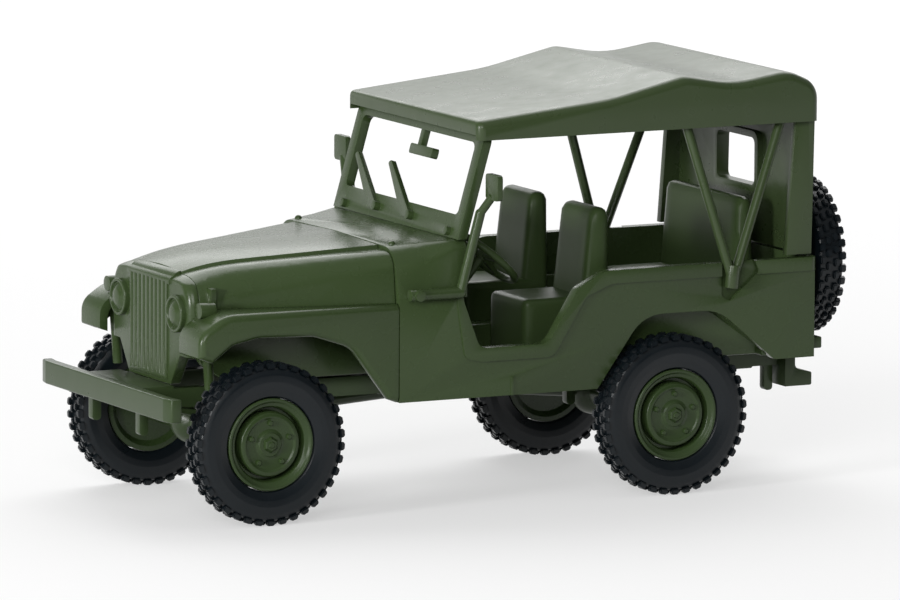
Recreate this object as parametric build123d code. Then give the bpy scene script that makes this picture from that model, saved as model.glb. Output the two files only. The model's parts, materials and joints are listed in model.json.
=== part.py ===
from build123d import *
import os
from math import cos, radians, sin

os.makedirs("parts", exist_ok=True)

# A small moulded-plastic scale model of an open 4x4 army car with a folding top.
# Millimetres. X runs forward, Y to the car's left and Z up; Z = 0 is the ground.
# While the pieces are made, X = 0 lies midway between the axles.

# Wheels, their radii one after the other outwards
hub_cap_r = 0.62
cap_to_nuts = 0.5
nuts_to_drum = 0.6
groove_w = 0.7
tyre_h = 1.83
tyre_w = 1.66
bead_inset = 0.23
sidewall_rise = 0.8
tread_depth = 0.28
lug_count = 28
lug_share = 0.55
rim_lip = 0.12
rim_ring_w = 0.3
rim_drum_out = 0.42
rim_recess = 0.4
rim_round = 0.15
dish_depth = 0.07
hub_cap_out = 0.22
nut_count = 5
nut_r = 0.15
wheel_pin_r = 0.5
wheel_pin_reach = 1.5
wheel_gap = 0.25
pin_clear = 0.05

# Lengths between the wheels, from the front tyre's back edge to the rear axle
arch_sweep = 2.82
wing_heel = 0.6
cowl_run = 3.4
door_lead = 0.25
door_run = 8.4
quarter_run = 3.92

# Lengths behind the rear tyre, back to the tail
arch_tail = 1.93
tail_heel = 2.4

# Lengths ahead of the front axle
panel_lead = 3.18
nose_lead = 3.78
bumper_lead = 1.58

# Widths, one after the other from the middle outwards
tunnel_half = 1.1
seat_tunnel_gap = 0.3
seat_w = 4.2
seat_side_gap = 1.35
wall = 0.5
tyre_inset = 0.15

# Heights above the tyres' tops, or below them where negative
arch_gap = 1.2
wing_over_arch = 1.35
rail_over_arch = 2.4
sill_under_arch = 3.85
bonnet_foot_over_arch = 0.6
cowl_over_arch = 4.15
screen_over_cowl = 0.35

# Body shell
lip_out = 0.13
lip_w = 0.72
door_deep = 3.65
door_bottom = 4.0
door_slope = 3.45
tail_lift = 0.9
recess_depth = 0.22
recess_back = 2.9
recess_h = 2.1
seam_gap = 0.06
floor_t = 0.5
floor_lift = 0.17
tunnel_h = 1.2
box_inset = 1.55
box_wall = 0.3
tail_round = 0.45
rib_w = 0.16
rib_h = 1.0
rib_back = 2.9

# Windscreen
screen_rake = 15.9
screen_inset = 0.1
screen_rise = 5.63
screen_t = 0.5
screen_member = 0.77
screen_sill = 1.25
screen_head = 0.5
wiper_t = 0.22
wiper_places = (-2.4, 1.55)
wiper_lift = 0.6
wiper_run = 3.5
wiper_rise = 2.4
pivot_r = 0.24
inner_mirror_w = 2.6
inner_mirror_h = 0.55

# Bonnet and front panel
nose_corner = 1.9
nose_crown = 0.12
nose_roll = 0.5
nose_drop = 0.95
raised_h = 0.2
panel_t = 0.6
slot_count = 9
slot_half = 2.2
slot_h = 5.3
slot_plate_t = 0.1
slot_w = 0.2
slot_depth = 0.2
slot_margin = 0.2
lamp_gap = 0.27
lamp_r = 0.98
lamp_edge = 0.37
lamp_out = 0.28
lamp_under_wing = 0.35
catch_h = 1.05
marker_r = 0.4
marker_l = 0.85
wing_t = 0.4
wing_edge_r = 0.35
stay_r = 0.27
apron_inset = 0.5
apron_t = 0.4

# Bumpers and tow hook
bumper_over = 0.55
bumper_h = 1.24
bumper_t = 0.6
bumper_bend = 0.15
bumper_bend_run = 0.75
hook_t = 0.7
hook_eye_r = 0.3
hook_reach = 0.7
bumperette_w = 1.25
bumperette_h = 0.6
bumperette_reach = 0.75

# Folding top
roof_overhang = 0.3
roof_wall = 0.37
roof_edge_r = 0.45
roof_lead = 0.55
valance_drop = 0.27
curtain_inset = 0.15
curtain_t = 0.4
quarter_w = 1.1
quarter_flare = 0.55
window_half = 2.1
window_h = 2.55
window_sill = 3.05
window_rim = 0.35
bow_r = 0.25
bow_foot_r = 0.36
bow_front_run = 2.75
bow_back_run = 3.3

# Seats and steering
seat_deep = 3.9
seat_back_t = 1.2
seat_back_h = 6.9
cushion_top = 3.1
cushion_t = 2.3
pad_round = 0.3
seat_base_inset = 0.5
bench_half = 4.7
bench_deep = 3.6
bench_back_t = 0.9
bench_back_h = 7.6
bench_taper = 0.7
bench_gap = 2.0
steering_r = 2.1
steering_grip_r = 0.2
steering_spoke_w = 0.24
steering_hub_r = 0.35
steering_column_r = 0.26
steering_ahead = 5.3
steering_h = 5.3
column_lean = 40

# Outside mirrors
mirror_arm_r = 0.3
mirror_bar = 2.95
mirror_bar_lift = 1.2
mirror_knee_h = 4.1
mirror_knee_back = 1.05
mirror_head_w = 1.4
mirror_head_h = 1.35
mirror_head_t = 0.3
mirror_neck = 1.0

# Underside
axle_tube_r = 0.72
diff_r = 1.25
diff_y = -1.45
frame_y = 2.9
frame_w = 0.7
frame_h = 1.0
spring_h = 0.76
spring_w = 0.8
spring_half = 3.3
shackle_drop = 1.35
shackle_w = 0.5
member_w = 0.8
horn_drop = 1.05
horn_reach = 1.65
horn_t = 0.7
shaft_r = 0.35
gearbox_l = 5.7
gearbox_drop = 0.43
transfer_l = 2.0
transfer_lead = 1.7
transfer_drop = 0.85
spring_leaf_t = 0.4
seat_clear = 0.02

# Spare wheel on the tail
spare_y = 3.0
spare_gap = 0.45
spare_under_rail = 0.45
carrier_w = 2.2
carrier_t = 0.3

# Wheel radii
nut_ring_r = hub_cap_r + cap_to_nuts
rim_drum_r = nut_ring_r + nuts_to_drum
tyre_bead_r = rim_drum_r + groove_w
tyre_r = tyre_bead_r + tyre_h

# Stations along the car
wing_run = tyre_r + arch_sweep + wing_heel
wheelbase = wing_run + cowl_run + door_lead + door_run + quarter_run
front_x = wheelbase / 2
rear_x = -wheelbase / 2
seam_x = front_x - wing_run
wing_back_x = seam_x + seam_gap
screen_foot_x = seam_x - cowl_run
door_x = screen_foot_x - door_lead
door_back_x = door_x - door_run
tail_x = rear_x - tyre_r - arch_tail - tail_heel
panel_x = front_x + panel_lead
nose_x = front_x + nose_lead
bumper_x = front_x + tyre_r + bumper_lead

# Half widths
seat_y = tunnel_half + seat_tunnel_gap + seat_w / 2
skin_y = seat_y + seat_w / 2 + seat_side_gap
side_y = skin_y + wall
tyre_y = side_y - tyre_inset
screen_half = side_y - screen_inset
roof_half = side_y + roof_overhang
curtain_half = side_y - curtain_inset
bumper_half = side_y + bumper_over
axle_end_y = tyre_y - tyre_w / 2 - wheel_gap
lamp_y = slot_half + lamp_gap + lamp_r
panel_half = lamp_y + lamp_r + lamp_edge

# Heights
hub_z = tyre_r
arch_z = hub_z + tyre_r + arch_gap
wing_top_z = arch_z + wing_over_arch
rail_z = arch_z + rail_over_arch
sill_z = arch_z - sill_under_arch
tail_z = sill_z + tail_lift
door_z = rail_z - door_deep
bonnet_low_z = arch_z + bonnet_foot_over_arch
cowl_z = arch_z + cowl_over_arch
screen_foot_z = cowl_z + screen_over_cowl
nose_top_z = cowl_z - nose_drop
frame_z = hub_z + axle_tube_r + spring_h
floor_z = frame_z + frame_h + floor_lift
cabin_floor = floor_z + floor_t
lamp_z = wing_top_z - lamp_under_wing
slot_top_z = wing_top_z + 1.35
slot_low_z = slot_top_z - slot_h
lean_sin = sin(radians(screen_rake))
lean_cos = cos(radians(screen_rake))
roof_lip_z = screen_foot_z + screen_rise * lean_cos + seat_clear
roof_front_x = screen_foot_x - screen_rise * lean_sin + roof_lead
valance_z = roof_lip_z - valance_drop
curtain_low_z = rail_z + 0.15
top_tail_x = tail_x - 0.05
recess_x = rear_x - recess_back
spare_z = rail_z - spare_under_rail
spare_x = tail_x - spare_gap - tyre_w / 2
bumper_z = frame_z - 0.02
hook_z = frame_z + 0.17


def outline(rows, place):
    """Closed face through (u, v, corner radius) rows, each put in space by place(u, v)."""
    points = [place(u, v) for u, v, r in rows]
    return make_face(FilletPolyline(*points, radius=[r for u, v, r in rows], close=True))


def slab_y(rows, y0, y1):
    """Side-view outline of (x, z, radius) rows, thick from y0 to y1."""
    face = outline(rows, lambda x, z: (x, y0, z))
    return extrude(face, amount=y1 - y0, dir=(0, 1, 0))


def slab_x(rows, x0, x1):
    """Front-view outline of (y, z, radius) rows, thick from x0 to x1."""
    face = outline(rows, lambda y, z: (x0, y, z))
    return extrude(face, amount=x1 - x0, dir=(1, 0, 0))


def slab_z(rows, z0, z1):
    """Plan outline of (x, y, radius) rows, thick from z0 to z1."""
    face = outline(rows, lambda x, y: (x, y, z0))
    return extrude(face, amount=z1 - z0, dir=(0, 0, 1))


def block(x0, x1, y0, y1, z0, z1):
    """Plain block between two corners."""
    middle = ((x0 + x1) / 2, (y0 + y1) / 2, (z0 + z1) / 2)
    return Pos(*middle) * Box(abs(x1 - x0), abs(y1 - y0), abs(z1 - z0))


def rod(start, end, radius):
    """Round bar from start to end."""
    way = Vector(*end) - Vector(*start)
    return extrude(Plane(start, z_dir=way) * Circle(radius), amount=way.length)


def mirrored_rows(rows):
    """Rows of one half, then the same rows on the other side, for an outline across the car."""
    return rows + [(-y, z, r) for y, z, r in reversed(rows)]


def flipped(shape):
    """Mirror image on the car's other side."""
    return mirror(shape, about=Plane.XZ)


def both_sides(shape):
    return shape + flipped(shape)


def ring_of(count, start=0.0):
    """Angles of count equal steps round a circle."""
    return [start + 360 * i / count for i in range(count)]


# Tyre and rim, made round the Y axis with the outer side towards +Y

def spun(rows):
    """Body of revolution about Y from (y, radius) rows."""
    face = make_face(Polyline(*[(r, y, 0) for y, r in rows], close=True))
    return revolve(face, axis=Axis.Y)


def make_tyre():
    """Toothed disc, one tooth a lug, with its bore and both slanting sidewalls cut out."""
    half, bead_half = tyre_w / 2, tyre_w / 2 - bead_inset
    side_r = tyre_bead_r + sidewall_rise
    half_lug = 180 / lug_count * lug_share
    foot_r = tyre_r - tread_depth
    # angle from the lug's middle, radius
    lug = [(-half_lug, foot_r), (-half_lug, tyre_r), (half_lug, tyre_r), (half_lug, foot_r)]
    points = []
    for turn in ring_of(lug_count):
        for side, radius in lug:
            angle = radians(turn + side)
            points.append((radius * sin(angle), -half, radius * cos(angle)))
    disc = extrude(make_face(Polyline(*points, close=True)), amount=tyre_w, dir=(0, 1, 0))
    return disc - spun([
        (-tyre_w, 0), (-tyre_w, side_r), (-half, side_r), (-bead_half, tyre_bead_r),
        (bead_half, tyre_bead_r), (half, side_r), (tyre_w, side_r), (tyre_w, 0),
    ])


def make_rim(pin=True):
    """Pressed rim: flange ring, deep groove, raised drum with a shallow dish, nuts and hub cap."""
    face = tyre_w / 2 - bead_inset
    groove = face - rim_recess
    drum = groove + rim_drum_out
    dish = drum - dish_depth
    rim = spun([
        (-face, 0), (-face, tyre_bead_r), (face + rim_lip, tyre_bead_r),
        (face + rim_lip, tyre_bead_r - rim_ring_w), (groove, rim_drum_r + rim_round), (groove, rim_drum_r),
        (drum - rim_round, rim_drum_r), (drum, rim_drum_r - rim_round), (drum, nut_ring_r + nut_r * 2.2),
        (dish, nut_ring_r + nut_r * 1.5), (dish, hub_cap_r + dish_depth), (dish + hub_cap_out, hub_cap_r),
        (dish + hub_cap_out, 0),
    ])
    nut = Pos(0, dish, nut_ring_r) * Cylinder(nut_r, nut_r * 2, rotation=(90, 0, 0))
    for turn in ring_of(nut_count):
        rim += Rot(0, turn, 0) * nut
    if pin:
        pin_end = axle_end_y - wheel_pin_reach - tyre_y
        rim += rod((0, pin_end, 0), (0, -face + 0.1, 0), wheel_pin_r)
    return rim


# Body shell

def edge_rows():
    """(x, z, radius) rows of the tub's upper edge from the tail to the cowl."""
    foot_x = door_back_x + door_slope
    return [
        (tail_x, rail_z, 0), (door_back_x, rail_z, 1.6), (door_back_x + 1.7, rail_z - 0.85, 0.8),
        (foot_x, door_z, 0.8), (foot_x + door_bottom, door_z, 0.6), (door_x, door_z + 2.55, 0.5),
    ]


def arch_rows():
    """(x, z, radius) rows of the rear wheel's opening, from front to back."""
    front, back = rear_x + tyre_r, rear_x - tyre_r
    return [
        (front + 0.12, sill_z, 0), (front - 2.58, arch_z - 0.1, 2.2),
        (back + 1.47, arch_z - 0.1, 2.4), (back - arch_tail, tail_z, 0.3),
    ]


def make_side():
    """One side of the tub with its doorway, wheel arch, rolled lip and the recess for the bows."""
    cowl_foot = bonnet_low_z + 1.0
    rows = [(seam_x, sill_z, 0), (seam_x, cowl_foot, 0), (door_x, cowl_foot, 0)]
    rows += list(reversed(edge_rows())) + [(tail_x, tail_z, 0.2)] + list(reversed(arch_rows()))
    side = slab_y(rows, skin_y, side_y)
    foot_x = door_back_x + door_slope
    lip_front, lip_low = door_x + lip_w / 2, door_z - lip_w
    lip_rows = edge_rows() + [
        (door_x, cowl_foot, 0), (lip_front, cowl_foot, 0), (lip_front, door_z + 2.45, 0.5),
        (door_x - 0.1, lip_low + 0.2, 0.5), (door_x - 1.1, lip_low, 0.4), (foot_x - 0.35, lip_low, 0.9),
        (door_back_x + 1.2, rail_z - lip_w - 0.6, 0.8), (door_back_x - 0.3, rail_z - lip_w, 1.2),
        (tail_x, rail_z - lip_w, 0),
    ]
    side += slab_y(lip_rows, side_y - lip_out, side_y + lip_out)
    rib_x = door_x - rib_back
    side += block(rib_x - rib_w / 2, rib_x + rib_w / 2, side_y - lip_out, side_y + lip_out / 2,
                  sill_z, sill_z + rib_h)
    recess_low = rail_z - recess_h
    recess = [
        (recess_x, rail_z + 1, 0), (recess_x - 0.08, recess_low + 0.3, 0.25),
        (recess_x - 0.58, recess_low, 0.25), (recess_x - 2.28, recess_low + 1.5, 0.3),
        (recess_x - 1.58, rail_z + 1, 0),
    ]
    return side - slab_y(recess, side_y - recess_depth, side_y + 1)


def cowl_section(x, top_half, edge_z, corner, crown):
    rows = mirrored_rows([(side_y, bonnet_low_z + 0.9, 0), (top_half, edge_z, corner)])
    rows.insert(2, (0, edge_z + crown, 20))
    return outline(rows, lambda y, z: (x, y, z))


def make_cowl():
    """Scuttle from the bonnet's seam back to the windscreen, hollow above the footwell."""
    sill_top = screen_foot_z - seat_clear
    back_x = screen_foot_x - screen_t
    cowl = loft([
        cowl_section(seam_x, side_y - 0.85, cowl_z, 1.4, 0.12),
        cowl_section(seam_x - 1.75, side_y - 0.45, cowl_z + 0.18, 1.1, 0.1),
        cowl_section(screen_foot_x + 0.25, side_y - 0.1, sill_top, 0.6, 0.01),
        cowl_section(back_x, side_y - 0.1, sill_top, 0.6, 0.01),
    ], ruled=True)
    cowl += block(screen_foot_x + 0.25, seam_x, -skin_y, skin_y, floor_z, bonnet_low_z + 0.95)
    cowl -= block(screen_foot_x + 0.55, seam_x - 0.7, -skin_y, skin_y, 0, cowl_z - 0.75)
    cowl -= block(back_x - 1.5, screen_foot_x + 0.6, -skin_y, skin_y, 0, cowl_z - 1.65)
    hinge_boss = Pos(seam_x - 0.45, side_y - 1.9, cowl_z + 0.05) * Sphere(0.2)
    return cowl + both_sides(hinge_boss)


def make_tub():
    tub = both_sides(make_side())
    tub += block(tail_x, tail_x + wall, -side_y, side_y, tail_z, rail_z)
    tub += block(tail_x - lip_out, tail_x, -side_y, side_y, rail_z - lip_w, rail_z)
    tub += make_cowl()
    out = side_y + lip_out
    plan = slab_z([(tail_x - lip_out, -out, tail_round), (tail_x - lip_out, out, tail_round),
                   (nose_x, out, 0), (nose_x, -out, 0)], 0, screen_foot_z + 1)
    return tub & plan


def make_floor():
    """Cabin floor with the tunnel and a hollow box over each rear wheel."""
    box_y = side_y - box_inset
    front, back = rear_x + tyre_r, rear_x - tyre_r
    top = arch_z + 0.25
    under = top - box_wall - 0.15
    rear_box = slab_y([(front + 0.37, cabin_floor, 0), (front - 2.33, top, 1.6), (back + 1.17, top, 1.8),
                       (back - arch_tail, cabin_floor, 0)], box_y, skin_y)
    low = floor_z - 1
    hollow = slab_y([(front - 0.33, low, 0), (front - 0.33, cabin_floor, 0), (front - 2.63, under, 1.3),
                     (back + 1.47, under, 1.5), (back - 1.43, cabin_floor, 0), (back - 1.43, low, 0)],
                    box_y + box_wall, skin_y + 1)
    floor_front = seam_x - 0.7
    floor = block(tail_x + wall, floor_front, -skin_y, skin_y, floor_z, cabin_floor)
    floor += both_sides(rear_box)
    floor -= both_sides(hollow)
    tunnel_top = cabin_floor + tunnel_h
    tunnel = mirrored_rows([(tunnel_half, cabin_floor - 0.1, 0), (tunnel_half - 0.3, tunnel_top, 0.3)])
    return floor + slab_x(tunnel, door_back_x + 0.3, floor_front)


# Bonnet, front panel and wings

bonnet_back_half = side_y - 0.35
raised_front_half = slot_half + 0.35
bonnet_table = [
    # x, half width at the foot, half width at the shoulder, shoulder z, shoulder radius,
    # half width of the raised middle
    (wing_back_x, bonnet_back_half, bonnet_back_half - 0.4, cowl_z - 0.2, 1.0, 4.9),
    (panel_x - panel_t - seat_clear, panel_half, panel_half, nose_top_z, nose_corner, raised_front_half),
]


def bonnet_section(row, inset):
    """Bonnet's cross-section at one row of the table, set in all round by inset."""
    x, low_half, top_half, edge_z, corner, middle_half = row
    foot_z = bonnet_low_z - (1 if inset else 0)
    rows = mirrored_rows([(low_half - inset, foot_z, 0), (top_half - inset, edge_z - inset, corner - inset)])
    rows.insert(2, (0, edge_z - inset + nose_crown, 20))
    return outline(rows, lambda y, z: (x + (inset if x < front_x else -inset), y, z))


def raised_section(row):
    """Cross-section of the bonnet's raised middle."""
    x, low_half, top_half, edge_z, corner, middle_half = row
    rows = mirrored_rows([(middle_half + 0.1, edge_z - 0.1, 0), (middle_half, edge_z + raised_h, 0)])
    rows.insert(2, (0, edge_z + raised_h + nose_crown, 20))
    return outline(rows, lambda y, z: (x, y, z))


def bonnet_half_at(x):
    """Half width of the bonnet's foot at x."""
    (x0, half0, *_), (x1, half1, *_) = bonnet_table
    return half0 + (half1 - half0) * (x - x0) / (x1 - x0)


def make_bonnet():
    """Tapered bonnet shell with a raised middle and a catch low on each side."""
    bonnet = loft([bonnet_section(row, 0) for row in bonnet_table], ruled=True)
    bonnet += loft([raised_section(row) for row in bonnet_table], ruled=True)
    bonnet -= loft([bonnet_section(row, wall) for row in bonnet_table], ruled=True)
    catch_x = bonnet_table[1][0] - 0.6
    half = bonnet_half_at(catch_x)
    low = wing_top_z + seat_clear
    catch = block(catch_x - 0.16, catch_x + 0.16, half - 0.3, half + 0.25, low, low + catch_h)
    return bonnet + both_sides(catch)


def make_front_panel():
    """Grille panel with its rolled edge, raised plate of fine upright slots and two headlamps."""
    low = slot_low_z - 0.25
    shoulder = sill_z + 2.65
    back = panel_x - panel_t
    rows = mirrored_rows([(panel_half, shoulder, 0), (panel_half, nose_top_z, nose_corner)])
    rows.insert(2, (0, nose_top_z + nose_crown, 20))
    shell = slab_x(rows, back, panel_x)
    rim_edges = shell.edges().filter_by(
        lambda edge: edge.center().X > panel_x - 0.001 and edge.center().Z > shoulder + 0.01)
    shell = fillet(rim_edges, nose_roll)
    apron = mirrored_rows([(slot_half + 0.3, low, 0.1), (panel_half - 1.0, shoulder + 0.2, 0)])
    shell += slab_x(apron, back, panel_x)
    plate_x = panel_x + slot_plate_t
    nose_z = nose_top_z + raised_h + nose_crown * 0.6
    strip = [(back, slot_top_z - 0.3, 0), (back, nose_z, 0), (plate_x, nose_z, nose_roll + 0.1),
             (plate_x, slot_top_z - 0.3, 0)]
    shell += slab_y(strip, -raised_front_half, raised_front_half)
    plate_half = slot_half + 0.08
    shell += block(panel_x - 0.1, plate_x, -plate_half, plate_half, slot_low_z, slot_top_z)
    pitch = 2 * slot_half / slot_count
    for i in range(slot_count):
        y = -slot_half + pitch * (i + 0.5)
        shell -= block(panel_x - slot_depth, panel_x + 1, y - slot_w / 2, y + slot_w / 2,
                       slot_low_z + slot_margin, slot_top_z - slot_margin)
    face = panel_x + lamp_out
    lamp = rod((panel_x - 0.1, lamp_y, lamp_z), (face, lamp_y, lamp_z), lamp_r)
    lamp -= rod((face - 0.12, lamp_y, lamp_z), (face + 1, lamp_y, lamp_z), lamp_r * 0.8)
    dome_r = lamp_r * 1.25
    dome = Pos(face + 0.1 - dome_r, lamp_y, lamp_z) * Sphere(dome_r)
    dome &= rod((face - 0.3, lamp_y, lamp_z), (face + 1, lamp_y, lamp_z), lamp_r * 0.74)
    return shell + both_sides(lamp + dome)


wing_top_rows = [
    # x, z, corner radius along the wing's top and over its nose
    (wing_back_x, wing_top_z, 0), (nose_x - 1.48, wing_top_z, 2.4), (nose_x, wing_top_z - 1.0, 1.0),
    (nose_x, arch_z - 0.85, 0.1),
]
wing_arch_rows = [
    # x, z, corner radius along the wheel's opening, from the nose back to the sill
    (nose_x - 0.78, arch_z - 1.15, 0.1), (nose_x - 1.93, arch_z - 0.3, 0.8), (front_x + 0.38, arch_z, 1.5),
    (front_x - tyre_r + 1.43, arch_z - 0.1, 2.0), (front_x - tyre_r - 0.67, arch_z - 0.8, 1.5),
    (front_x - tyre_r - arch_sweep, sill_z + 0.2, 0.2), (wing_back_x, sill_z, 0),
]


def make_wing():
    """Left wing: rounded outer edge, flat top in to the bonnet, nose curled down, open wheel arch."""
    inner_y = panel_half + 0.07
    wing = slab_y(wing_top_rows + wing_arch_rows, inner_y, side_y)
    outer_edges = wing.edges().filter_by(lambda edge: edge.center().Y > side_y - 0.001)
    top_edges = outer_edges.filter_by(
        lambda edge: edge.center().Z > arch_z + 0.2 or edge.center().X > nose_x - 0.6)
    wing = fillet(top_edges.filter_by(lambda edge: edge.center().Z > arch_z - 0.84), wing_edge_r)
    under = wing_top_z - wing_t
    hollow = slab_y([(wing_back_x - 1, 0, 0), (wing_back_x - 1, under, 0), (nose_x - 1.58, under, 2.1),
                     (nose_x - 0.45, under - 0.9, 0.8), (nose_x - 0.45, 0, 0)], inner_y - 1, skin_y)
    wing -= hollow
    edge = [(x, half + seat_clear, 0) for x, half, *rest in bonnet_table]
    front_y = edge[-1][1]
    foot = slab_z(edge + [(nose_x + 4, front_y, 0), (nose_x + 4, -1, 0), (wing_back_x, -1, 0)],
                  bonnet_low_z - seat_clear, cowl_z)
    wing -= foot
    stay_y = inner_y + 0.75
    stay = rod((nose_x - 1.15, stay_y, under - 0.3), (nose_x - 1.4, stay_y, sill_z + 1.0), stay_r)
    marker_z = wing_top_z + 0.05
    marker = rod((nose_x - 1.6, stay_y, marker_z), (nose_x - 1.6 + marker_l, stay_y, marker_z), marker_r)
    return wing + stay + marker


def make_aprons():
    """Upright inner panels between the wheels and the engine bay."""
    top = bonnet_low_z - seat_clear
    front = panel_x - panel_t - 0.1
    low = floor_z + 0.1
    outer = panel_half - apron_inset
    apron = slab_y([(wing_back_x, low, 0), (wing_back_x, top, 0), (front, top, 0),
                    (front, sill_z + 2.35, 1.0), (front - 1.8, low, 0)], outer - apron_t, outer)
    return both_sides(apron)


# Windscreen

def screen_point(y, up, out=0.0):
    """Point on the windscreen's front plane, up along its slope and out ahead of it."""
    return (screen_foot_x - up * lean_sin + out * lean_cos, y, screen_foot_z + up * lean_cos + out * lean_sin)


def screen_slab(rows, low, high):
    """Outline of (y, up, radius) rows on the windscreen, from low to high ahead of its front plane."""
    face = outline(rows, lambda y, up: screen_point(y, up, low))
    return extrude(face, amount=high - low, dir=(lean_cos, 0, lean_sin))


def make_windscreen():
    """Frame with its rounded opening, two moulded wipers with their pivots and the inner mirror."""
    half = screen_half - screen_member
    top = screen_rise - screen_head
    plate = mirrored_rows([(screen_half, -0.5, 0), (screen_half, screen_rise, 0.4)])
    opening = mirrored_rows([(half, screen_sill, 0.3), (half, top, 0.4)])
    frame = screen_slab(plate, -screen_t, 0) - screen_slab(opening, -screen_t * 3, screen_t * 3)
    for y in wiper_places:
        foot, tip, tip_y = wiper_lift - 0.15, wiper_lift + wiper_rise, y - wiper_run
        arm = [(y + 0.45, foot, 0.1), (y - 0.75, foot, 0.1), (tip_y - 0.1, tip, 0.1),
               (tip_y + 0.2, tip + 0.15, 0.1)]
        frame += screen_slab(arm, -0.05, wiper_t)
        pivot = (y + 0.1, wiper_lift)
        frame += rod(screen_point(*pivot), screen_point(*pivot, wiper_t + 0.12), pivot_r)
    for y in (-screen_half + 1.25, screen_half - 1.25):
        frame += rod(screen_point(y, 0.32, -0.1), screen_point(y, 0.32, 0.25), pivot_r)
    stem = [(0.1, top - 0.9, 0), (0.1, top + 0.1, 0), (0.5, top + 0.1, 0), (0.5, top - 0.9, 0)]
    head_y = 0.8
    head_up = top - 1.1
    head = [(head_y + side * inner_mirror_w / 2, head_up + rise * inner_mirror_h / 2, 0.15)
            for side, rise in ((-1, -1), (-1, 1), (1, 1), (1, -1))]
    frame += screen_slab(stem, -screen_t + 0.05, -0.1)
    frame += screen_slab(head, -screen_t + 0.1, 0.0)
    return frame - block(-side_y, side_y, -side_y, side_y, 0, screen_foot_z)


# Folding top

def roof_rows(inset):
    """(x, z, radius) rows of the top's side view over its two bows, set in all round by inset."""
    low = valance_z - (1 if inset else 0)
    bow_x = rear_x - 0.65
    peak = roof_lip_z + 2.5
    return [
        (roof_front_x - inset, low, 0), (roof_front_x - inset, roof_lip_z + 0.72 - inset, 0.3),
        (roof_front_x - 7.95, roof_lip_z + 1.52 - inset, 14.0), (bow_x, peak - inset, 1.5),
        (bow_x - 2.95, peak - 0.52 - inset, 7.0), (tail_x + 1.7, peak - 0.02 - inset, 2.0),
        (top_tail_x + inset, peak - 0.82 - inset, 1.2), (top_tail_x + inset, low, 0),
    ]


def make_soft_top():
    """Canvas roof in one with its valance, the rear quarters and the back curtain with its window."""
    roof = slab_y(roof_rows(0), -roof_half, roof_half)
    side_edges = roof.edges().filter_by(
        lambda edge: abs(abs(edge.center().Y) - roof_half) < 0.001 and edge.center().Z > valance_z + 0.01)
    roof = fillet(side_edges, roof_edge_r)
    inner = roof_half - roof_wall
    roof -= slab_y(roof_rows(roof_wall), -inner, inner)
    roof -= block(roof_front_x - 1.2, roof_front_x + 1, -inner, inner, 0, roof_lip_z)
    corner = tail_x + quarter_w
    top_z, back_top, back_foot = valance_z + 0.8, top_tail_x + 0.05, top_tail_x + 0.2
    quarter = slab_y([(corner, valance_z + 0.4, 0), (corner + quarter_flare, curtain_low_z, 0),
                      (back_foot, curtain_low_z, 0), (back_top, valance_z + 0.4, 0)],
                     curtain_half - curtain_t, curtain_half)
    curtain = slab_y([(back_top, top_z, 0), (back_foot, curtain_low_z, 0),
                      (back_foot + curtain_t, curtain_low_z, 0), (back_top + curtain_t, top_z, 0)],
                     -curtain_half, curtain_half)
    sill = curtain_low_z + window_sill
    rows = mirrored_rows([(window_half, sill, 0.35), (window_half, sill + window_h, 0.35)])
    rim_half, rim_top = window_half + window_rim, sill + window_h + window_rim
    rim_rows = mirrored_rows([(rim_half, sill - window_rim, 0.6), (rim_half, rim_top, 0.6)])
    rim = slab_x(rim_rows, top_tail_x + curtain_t, top_tail_x + curtain_t + 0.45)
    window = slab_x(rows, top_tail_x - 1, top_tail_x + 2)
    return roof + both_sides(quarter) + (curtain + rim - window)


def make_bows():
    """The two struts of one side, fanned up from a foot in the tub's recess to the roof's edge."""
    head_y = roof_half - roof_wall - bow_r - 0.08
    head_z = valance_z + 0.7
    foot_x, foot_y = recess_x - 0.65, side_y - recess_depth + bow_foot_r + seat_clear
    foot = (foot_x, foot_y, rail_z - 1.0)
    bows = rod((foot_x + 0.08, foot_y, rail_z - 1.35), (foot_x - 0.05, foot_y, rail_z - 0.15), bow_foot_r)
    for head_x in (foot_x + bow_front_run, foot_x - bow_back_run):
        bows += rod(foot, (head_x, head_y, head_z), bow_r)
    return bows


def make_mirror():
    """Outside mirror on its post, with the bar along the cowl that carries it."""
    arm_y = side_y + mirror_arm_r + seat_clear
    bar_z = bonnet_low_z + mirror_bar_lift
    heel = (door_x + mirror_arm_r, arm_y, bar_z)
    knee = (heel[0] - mirror_knee_back, arm_y + 0.15, bar_z + mirror_knee_h)
    top = (knee[0] - 0.3, arm_y + mirror_neck, knee[2] + mirror_neck)
    arm = rod(heel, (heel[0] + mirror_bar, arm_y, bar_z), mirror_arm_r)
    arm += rod(heel, knee, mirror_arm_r * 0.87) + Pos(*heel) * Sphere(mirror_arm_r)
    arm += rod(knee, top, mirror_arm_r * 0.73) + Pos(*knee) * Sphere(mirror_arm_r * 0.87)
    foot_x = heel[0] + mirror_bar - 0.45
    foot_end = arm_y + mirror_arm_r + 0.12
    arm += rod((foot_x, side_y - seat_clear, bar_z), (foot_x, foot_end, bar_z), mirror_arm_r * 0.95)
    middle_y, middle_z = top[1] + 0.15, top[2] + mirror_head_h / 2 - 0.2
    head = slab_x([(middle_y + side * mirror_head_w / 2, middle_z + rise * mirror_head_h / 2, 0.2)
                   for side, rise in ((-1, -1), (-1, 1), (1, 1), (1, -1))],
                  top[0] - mirror_head_t / 2, top[0] + mirror_head_t / 2)
    return arm + head


# Seats and steering

def padded(rows, x0, x1, rounding):
    """Moulded cushion: front-view outline with the long edges of both faces rounded."""
    pad = slab_x(rows, x0, x1)
    rims = pad.edges().filter_by(lambda edge: edge.length > 0.01 and (
        abs(edge.center().X - x0) < 0.001 or abs(edge.center().X - x1) < 0.001))
    return fillet(rims, rounding)


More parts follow.
